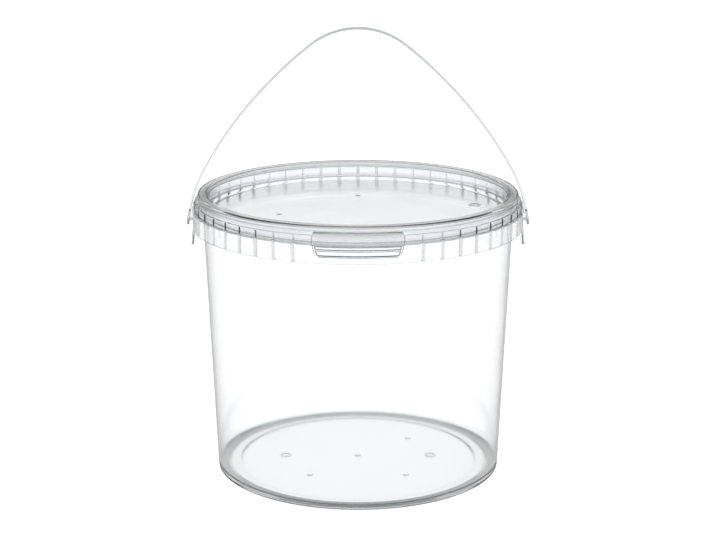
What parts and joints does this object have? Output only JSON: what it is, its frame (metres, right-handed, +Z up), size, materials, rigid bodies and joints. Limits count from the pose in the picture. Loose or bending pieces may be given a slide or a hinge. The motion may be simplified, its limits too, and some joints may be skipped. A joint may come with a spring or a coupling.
{
  "type": "plastic bucket with lid",
  "caption": "Round tapered clear plastic bucket with a press-on lid, a pull tab on the lid and a flexible strap handle.",
  "frame": {"origin": "on the ground, at the centre of the bucket's base", "axes": "+Z up, the front with the pull tab faces -Y, the handle's pivots lie on a line along X"},
  "size_m": [0.2062, 0.2003, 0.2693],
  "materials": {
    "bucket_plastic": "clear moulded polypropylene, glossy outside, faintly milky",
    "lid_plastic": "clear moulded polypropylene, glossy",
    "handle_plastic": "clear moulded polypropylene, satin"
  },
  "bodies": {
    "bucket": {"bucket_body": "bucket_plastic", "rim_band": "bucket_plastic"},
    "lid": {"lid": "lid_plastic"},
    "tab": {"pull_tab": "lid_plastic"},
    "handle": {"handle_strap": "handle_plastic", "handle_end_left": "handle_plastic", "handle_end_right": "handle_plastic"}
  },
  "joints": [
    {"name": "lid_lift", "type": "slide", "parent": "bucket", "child": "lid", "axis": [0, 0, 1], "range_m": [0, 0.125]},
    {"name": "tab_hinge", "type": "hinge", "parent": "lid", "child": "tab", "pos_m": [0, -0.10065, 0.1608], "axis": [-1, 0, 0], "range_deg": [0, 90]},
    {"name": "handle_swing", "type": "hinge", "parent": "bucket", "child": "handle", "pos_m": [0, 0, 0.155], "axis": [1, 0, 0], "range_deg": [-90, 90], "deforming": ["handle_strap"]}
  ]
}
